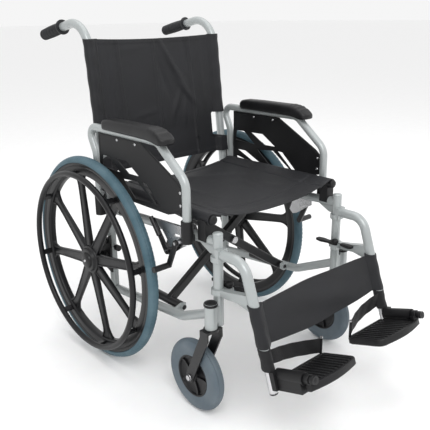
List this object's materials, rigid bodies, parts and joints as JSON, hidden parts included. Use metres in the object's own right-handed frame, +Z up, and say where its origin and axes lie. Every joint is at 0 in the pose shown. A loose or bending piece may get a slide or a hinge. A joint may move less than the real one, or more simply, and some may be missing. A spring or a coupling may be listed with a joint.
{
  "type": "wheelchair",
  "caption": "Folding manual wheelchair with large spoked rear wheels, casters, swing-away footrests, lift-out armrests and a cross brace.",
  "frame": {"origin": "middle of the bounding box's base, on the floor", "axes": "+Z up, the chair faces -Y, +X is the sitter's left"},
  "size_m": [0.683, 1.0901, 0.9784],
  "materials": {
    "frame_paint": "light silver-grey powder coat, satin",
    "black_paint": "black powder coat, satin",
    "black_plastic": "moulded black plastic, fine grain",
    "wheel_plastic": "moulded black composite, semi-gloss",
    "tyre_rubber": "grey-blue solid tyre, matte",
    "grip_rubber": "soft black grip",
    "pad_foam": "integral-skin foam, black, fine leather grain",
    "nylon": "coated charcoal nylon",
    "webbing": "black woven webbing",
    "steel": "zinc-plated steel"
  },
  "bodies": {
    "right_frame": {"right_back_post": "frame_paint", "right_front_post": "frame_paint", "right_upper_rail": "frame_paint", "right_lower_rail": "frame_paint", "right_axle_plate": "black_paint", "right_hand_grip": "grip_rubber", "right_seat_saddles": "black_plastic", "right_armrest_sockets": "black_plastic", "right_brake_bracket": "steel", "right_back_upholstery": "nylon"},
    "brace_a": {"brace_a": "black_paint", "brace_pivot_bolt": "steel", "left_seat_sling": "nylon"},
    "brace_b": {"brace_b": "black_paint", "right_seat_sling": "nylon"},
    "left_frame": {"left_back_post": "frame_paint", "left_front_post": "frame_paint", "left_upper_rail": "frame_paint", "left_lower_rail": "frame_paint", "left_axle_plate": "black_paint", "left_hand_grip": "grip_rubber", "left_seat_saddles": "black_plastic", "left_armrest_sockets": "black_plastic", "left_brake_bracket": "steel", "left_back_upholstery": "nylon"},
    "right_wheel": {"right_rear_wheel": "wheel_plastic", "right_rear_tyre": "tyre_rubber", "right_handrim": "wheel_plastic"},
    "right_caster_fork": {"right_caster_fork": "black_paint"},
    "right_caster": {"right_caster_wheel": "wheel_plastic", "right_caster_tyre": "tyre_rubber"},
    "right_hanger": {"right_footrest_hanger": "frame_paint", "right_footrest_extension": "black_plastic", "right_heel_loop": "webbing", "calf_strap": "nylon"},
    "right_latch": {"right_hanger_latch": "black_plastic"},
    "right_footplate_pin": {"right_footplate_pin": "black_paint"},
    "right_footplate": {"right_footplate": "black_plastic"},
    "right_armrest": {"right_armrest_tube": "frame_paint", "right_arm_pad": "pad_foam", "right_side_guard": "black_plastic"},
    "right_brake_lever": {"right_brake_lever": "black_paint"},
    "right_brake_shoe": {"right_brake_shoe": "black_paint"},
    "left_wheel": {"left_rear_wheel": "wheel_plastic", "left_rear_tyre": "tyre_rubber", "left_handrim": "wheel_plastic"},
    "left_caster_fork": {"left_caster_fork": "black_paint"},
    "left_caster": {"left_caster_wheel": "wheel_plastic", "left_caster_tyre": "tyre_rubber"},
    "left_hanger": {"left_footrest_hanger": "frame_paint", "left_footrest_extension": "black_plastic", "left_heel_loop": "webbing"},
    "left_latch": {"left_hanger_latch": "black_plastic"},
    "left_footplate_pin": {"left_footplate_pin": "black_paint"},
    "left_footplate": {"left_footplate": "black_plastic"},
    "left_armrest": {"left_armrest_tube": "frame_paint", "left_arm_pad": "pad_foam", "left_side_guard": "black_plastic"},
    "left_brake_lever": {"left_brake_lever": "black_paint"},
    "left_brake_shoe": {"left_brake_shoe": "black_paint"}
  },
  "joints": [
    {"name": "fold", "type": "hinge", "parent": "right_frame", "child": "brace_a", "pos_m": [-0.204, 0.00755, 0.228], "axis": [0, -1, 0], "range_deg": [0, 36], "deforming": ["left_seat_sling", "right_seat_sling", "right_back_upholstery", "left_back_upholstery", "calf_strap"]},
    {"name": "brace_cross", "type": "hinge", "parent": "brace_a", "child": "brace_b", "pos_m": [0, -0.02595, 0.36683], "axis": [0, -1, 0], "range_deg": [-72, 0]},
    {"name": "left_frame_pivot", "type": "hinge", "parent": "brace_b", "child": "left_frame", "pos_m": [0.204, 0.00755, 0.228], "axis": [0, -1, 0], "range_deg": [0, 36]},
    {"name": "right_wheel_spin", "type": "hinge", "parent": "right_frame", "child": "right_wheel", "pos_m": [-0.2895, 0.24005, 0.305], "axis": [1, 0, 0], "continuous": true},
    {"name": "right_caster_swivel", "type": "hinge", "parent": "right_frame", "child": "right_caster_fork", "pos_m": [-0.2595, -0.24495, 0.28], "axis": [0, 0, 1], "continuous": true},
    {"name": "right_caster_spin", "type": "hinge", "parent": "right_caster_fork", "child": "right_caster", "pos_m": [-0.2595, -0.18495, 0.098], "axis": [1, 0, 0], "continuous": true},
    {"name": "right_hanger_swing", "type": "hinge", "parent": "right_frame", "child": "right_hanger", "pos_m": [-0.23, -0.24095, 0.38], "axis": [0, 0, -1], "range_deg": [0, 90]},
    {"name": "right_latch_press", "type": "hinge", "parent": "right_hanger", "child": "right_latch", "pos_m": [-0.208, -0.25595, 0.356], "axis": [0, 0, -1], "range_deg": [0, 35]},
    {"name": "right_footplate_fold", "type": "hinge", "parent": "right_hanger", "child": "right_footplate_pin", "pos_m": [-0.218, -0.47295, 0.209], "axis": [0, -0.9483, 0.3173], "range_deg": [0, 85], "deforming": ["right_heel_loop"]},
    {"name": "right_footplate_flip", "type": "hinge", "parent": "right_footplate_pin", "child": "right_footplate", "pos_m": [-0.218, -0.47295, 0.209], "axis": [0, 0.9483, -0.3173], "range_deg": [-85, 0], "deforming": ["right_heel_loop"]},
    {"name": "right_armrest_lift", "type": "slide", "parent": "right_frame", "child": "right_armrest", "axis": [0, 0, 1], "range_m": [0, 0.15]},
    {"name": "right_brake_lever_turn", "type": "hinge", "parent": "right_frame", "child": "right_brake_lever", "pos_m": [-0.25, -0.06495, 0.40573], "axis": [1, 0, 0], "range_deg": [0, 45]},
    {"name": "right_brake_shoe_turn", "type": "hinge", "parent": "right_frame", "child": "right_brake_shoe", "pos_m": [-0.256, -0.11195, 0.43973], "axis": [1, 0, 0], "range_deg": [0, 15.2]},
    {"name": "left_wheel_spin", "type": "hinge", "parent": "left_frame", "child": "left_wheel", "pos_m": [0.2895, 0.24005, 0.305], "axis": [1, 0, 0], "continuous": true},
    {"name": "left_caster_swivel", "type": "hinge", "parent": "left_frame", "child": "left_caster_fork", "pos_m": [0.2595, -0.24495, 0.28], "axis": [0, 0, 1], "continuous": true},
    {"name": "left_caster_spin", "type": "hinge", "parent": "left_caster_fork", "child": "left_caster", "pos_m": [0.2595, -0.18495, 0.098], "axis": [1, 0, 0], "continuous": true},
    {"name": "left_hanger_swing", "type": "hinge", "parent": "left_frame", "child": "left_hanger", "pos_m": [0.23, -0.24095, 0.38], "axis": [0, 0, 1], "range_deg": [0, 90]},
    {"name": "left_latch_press", "type": "hinge", "parent": "left_hanger", "child": "left_latch", "pos_m": [0.208, -0.25595, 0.356], "axis": [0, 0, 1], "range_deg": [0, 35]},
    {"name": "left_footplate_fold", "type": "hinge", "parent": "left_hanger", "child": "left_footplate_pin", "pos_m": [0.218, -0.47295, 0.209], "axis": [0, 0.9483, -0.3173], "range_deg": [0, 85], "deforming": ["left_heel_loop"]},
    {"name": "left_footplate_flip", "type": "hinge", "parent": "left_footplate_pin", "child": "left_footplate", "pos_m": [0.218, -0.47295, 0.209], "axis": [0, -0.9483, 0.3173], "range_deg": [-85, 0], "deforming": ["left_heel_loop"]},
    {"name": "left_armrest_lift", "type": "slide", "parent": "left_frame", "child": "left_armrest", "axis": [0, 0, 1], "range_m": [0, 0.15]},
    {"name": "left_brake_lever_turn", "type": "hinge", "parent": "left_frame", "child": "left_brake_lever", "pos_m": [0.25, -0.06495, 0.40573], "axis": [1, 0, 0], "range_deg": [0, 45]},
    {"name": "left_brake_shoe_turn", "type": "hinge", "parent": "left_frame", "child": "left_brake_shoe", "pos_m": [0.256, -0.11195, 0.43973], "axis": [1, 0, 0], "range_deg": [0, 15.2]}
  ],
  "couplings": [
    {"joint": "brace_cross", "follows": "fold", "ratio": -2},
    {"joint": "left_frame_pivot", "follows": "fold", "ratio": 1},
    {"joint": "right_brake_shoe_turn", "follows": "right_brake_lever_turn", "ratio": 0.3377},
    {"joint": "right_footplate_fold", "follows": "fold", "ratio": 2.361},
    {"joint": "left_brake_shoe_turn", "follows": "left_brake_lever_turn", "ratio": 0.3377},
    {"joint": "left_footplate_fold", "follows": "fold", "ratio": 2.361}
  ]
}
